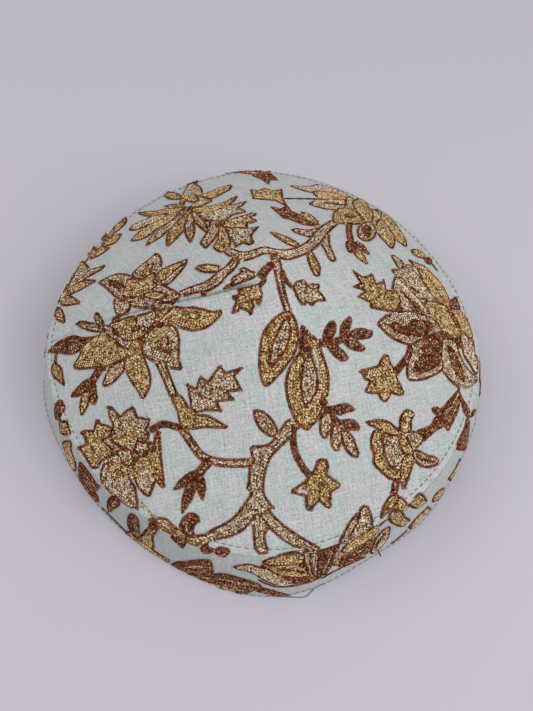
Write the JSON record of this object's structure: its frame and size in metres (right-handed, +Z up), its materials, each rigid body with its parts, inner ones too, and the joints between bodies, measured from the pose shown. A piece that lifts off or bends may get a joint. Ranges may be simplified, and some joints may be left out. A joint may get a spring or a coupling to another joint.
{
  "type": "embroidered cap",
  "caption": "Soft round cloth cap for the head: a shallow peaked crown closed by one dart, sewn to a flaring side band, covered in chain-stitch flowers.",
  "frame": {"origin": "middle of the rim, on the plane that the cap rests on", "axes": "+Z up through the crown's tip, -Y to the front of the picture's view, the dart towards -X"},
  "size_m": [0.1908, 0.1908, 0.0781],
  "materials": {
    "crown_cloth": "matt slub cotton, undyed grey white",
    "band_cloth": "matt slub cotton, undyed grey white",
    "brown_thread": "dark brown embroidery thread, low sheen",
    "gold_thread": "gold metallic embroidery thread, glinting",
    "pale_thread": "pale gold metallic embroidery thread, glinting",
    "grey_thread": "grey sewing thread, matt"
  },
  "bodies": {
    "root": {"crown": "crown_cloth", "side_band": "band_cloth"}
  },
  "joints": []
}
